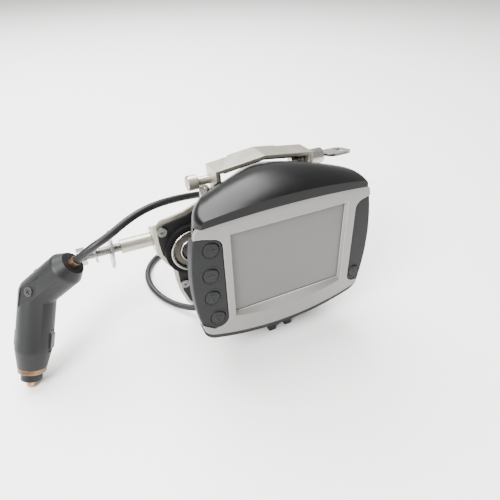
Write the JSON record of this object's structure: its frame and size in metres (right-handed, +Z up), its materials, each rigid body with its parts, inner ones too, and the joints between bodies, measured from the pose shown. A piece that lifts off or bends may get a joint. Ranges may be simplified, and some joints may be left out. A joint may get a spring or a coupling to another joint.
{
  "type": "motorcycle satellite navigator in a lockable bracket",
  "caption": "Wide rounded touch-screen navigator with a black visor and rubber grips, locked under a steel strap on a bracket with a handlebar rod and a 12 V lead.",
  "frame": {"origin": "on the surface that the unit stands on, below the middle of the display, at the front edge of the cradle's foot", "axes": "+X to the right along the screen, +Y to the back, +Z up; the screen leans back 5 degrees"},
  "size_m": [0.2323, 0.1325, 0.1189],
  "materials": {
    "silver_plastic": "satin silver paint on plastic",
    "hood_black": "low-gloss black moulding",
    "grip_rubber": "soft matt rubber",
    "key_rubber": "soft matt rubber",
    "case_plastic": "fine-textured black",
    "screen_glass": "matt touch film",
    "lcd_grey": "unlit display",
    "gasket_black": "matt",
    "circuit_board": "solder mask",
    "ceramic": "ceramic patch",
    "battery_grey": "shrink film",
    "steel": "zinc plated",
    "nickel": "satin nickel",
    "cradle_black": "matt black",
    "gold": "gold plated",
    "panel_black": "matt black",
    "damper_brown": "dull grey-brown",
    "chrome": "bright nickel",
    "brass": "worn brass",
    "plug_black": "fine-textured black",
    "led_red": "tinted lens",
    "cord_black": "smooth PVC",
    "fuse_glass": "clear"
  },
  "bodies": {
    "unit": {"back_panel": "panel_black", "back_plate": "nickel", "battery": "battery_grey", "battery_cover": "case_plastic", "case_screws": "steel", "clamp_block": "nickel", "contact_block": "cradle_black", "cord_gland": "cord_black", "cradle": "cradle_black", "damper_core": "panel_black", "damper_rim": "chrome", "damper_rubber": "gasket_black", "damper_sleeve": "steel", "damper_washer": "damper_brown", "front_bezel": "silver_plastic", "gps_antenna": "ceramic", "hood": "hood_black", "key_boards": "circuit_board", "latch_pin": "steel", "lcd_module": "lcd_grey", "left_grip": "grip_rubber", "lock_barrel": "chrome", "main_board": "circuit_board", "panel_screws": "steel", "pivot_screw": "chrome", "plate_bolts": "steel", "plug_collar": "plug_black", "plug_ferrule": "brass", "plug_fuse": "fuse_glass", "plug_led": "led_red", "plug_ring": "brass", "plug_screw": "steel", "plug_shell": "plug_black", "power_cord": "cord_black", "rear_housing": "case_plastic", "right_grip": "grip_rubber", "rod_boss": "nickel", "rod_nut": "steel", "screen_gasket": "gasket_black", "spacer_tube": "nickel", "threaded_rod": "steel", "touch_glass": "screen_glass"},
    "key_zoom_in": {"key_zoom_in": "key_rubber"},
    "key_zoom_out": {"key_zoom_out": "key_rubber"},
    "key_page": {"key_page": "key_rubber"},
    "key_voice": {"key_voice": "key_rubber"},
    "key_power": {"key_power": "key_rubber"},
    "strap": {"locking_strap": "nickel", "strap_lining": "gasket_black"},
    "lock": {"lock_plug": "steel", "lock_key": "chrome", "lock_cam": "steel"},
    "clamp": {"clamp_screw": "chrome"},
    "latch": {"release_latch": "cradle_black"},
    "wide_washer": {"large_washer": "steel"},
    "narrow_washer": {"small_washer": "steel"},
    "tip": {"plug_tip": "brass"},
    "plug_contact_left": {"plug_contact_left": "steel"},
    "plug_contact_right": {"plug_contact_right": "steel"},
    "pins": {"contact_pins": "gold"}
  },
  "joints": [
    {"name": "key_zoom_in_press", "type": "slide", "parent": "unit", "child": "key_zoom_in", "axis": [0, 0.9962, -0.0872], "range_m": [0, 0.0007], "stiffness_N_per_m": 1200, "springref_m": -0.0005},
    {"name": "key_zoom_out_press", "type": "slide", "parent": "unit", "child": "key_zoom_out", "axis": [0, 0.9962, -0.0872], "range_m": [0, 0.0007], "stiffness_N_per_m": 1200, "springref_m": -0.0005},
    {"name": "key_page_press", "type": "slide", "parent": "unit", "child": "key_page", "axis": [0, 0.9962, -0.0872], "range_m": [0, 0.0007], "stiffness_N_per_m": 1200, "springref_m": -0.0005},
    {"name": "key_voice_press", "type": "slide", "parent": "unit", "child": "key_voice", "axis": [0, 0.9962, -0.0872], "range_m": [0, 0.0007], "stiffness_N_per_m": 1200, "springref_m": -0.0005},
    {"name": "key_power_press", "type": "slide", "parent": "unit", "child": "key_power", "axis": [0, 0.9962, -0.0872], "range_m": [0, 0.0007], "stiffness_N_per_m": 1200, "springref_m": -0.0005},
    {"name": "strap_lift", "type": "hinge", "parent": "unit", "child": "strap", "pos_m": [0, 0.03991, 0.10583], "axis": [-1, 0, 0], "range_deg": [0, 70]},
    {"name": "lock_turn", "type": "hinge", "parent": "unit", "child": "lock", "pos_m": [0.04, 0.03991, 0.10583], "axis": [1, 0, 0], "range_deg": [0, 90]},
    {"name": "clamp_turn", "type": "hinge", "parent": "unit", "child": "clamp", "pos_m": [-0.0355, 0.03906, 0.09496], "axis": [0, 0.0872, 0.9962], "range_deg": [-180, 180]},
    {"name": "latch_press", "type": "hinge", "parent": "unit", "child": "latch", "pos_m": [0, 0.00523, 0.01009], "axis": [1, 0, 0], "range_deg": [0, 10], "stiffness_Nm_per_rad": 0.4, "springref_deg": -5.73},
    {"name": "large_washer_slide", "type": "slide", "parent": "unit", "child": "wide_washer", "axis": [1, 0, 0], "range_m": [-0.004, 0.003]},
    {"name": "small_washer_slide", "type": "slide", "parent": "unit", "child": "narrow_washer", "axis": [1, 0, 0], "range_m": [-0.0045, 0.001]},
    {"name": "tip_press", "type": "slide", "parent": "unit", "child": "tip", "axis": [0.3479, 0.4082, 0.844], "range_m": [0, 0.002], "stiffness_N_per_m": 1500, "springref_m": -0.002},
    {"name": "plug_contact_left_press", "type": "slide", "parent": "unit", "child": "plug_contact_left", "axis": [0.8652, -0.4865, -0.1214], "range_m": [0, 0.0009], "stiffness_N_per_m": 3000, "springref_m": -0.0005},
    {"name": "plug_contact_right_press", "type": "slide", "parent": "unit", "child": "plug_contact_right", "axis": [-0.8652, 0.4865, 0.1214], "range_m": [0, 0.0009], "stiffness_N_per_m": 3000, "springref_m": -0.0005},
    {"name": "contact_pins_press", "type": "slide", "parent": "unit", "child": "pins", "axis": [0, 0.9962, -0.0872], "range_m": [0, 0.0008], "stiffness_N_per_m": 900, "springref_m": -0.0005}
  ]
}
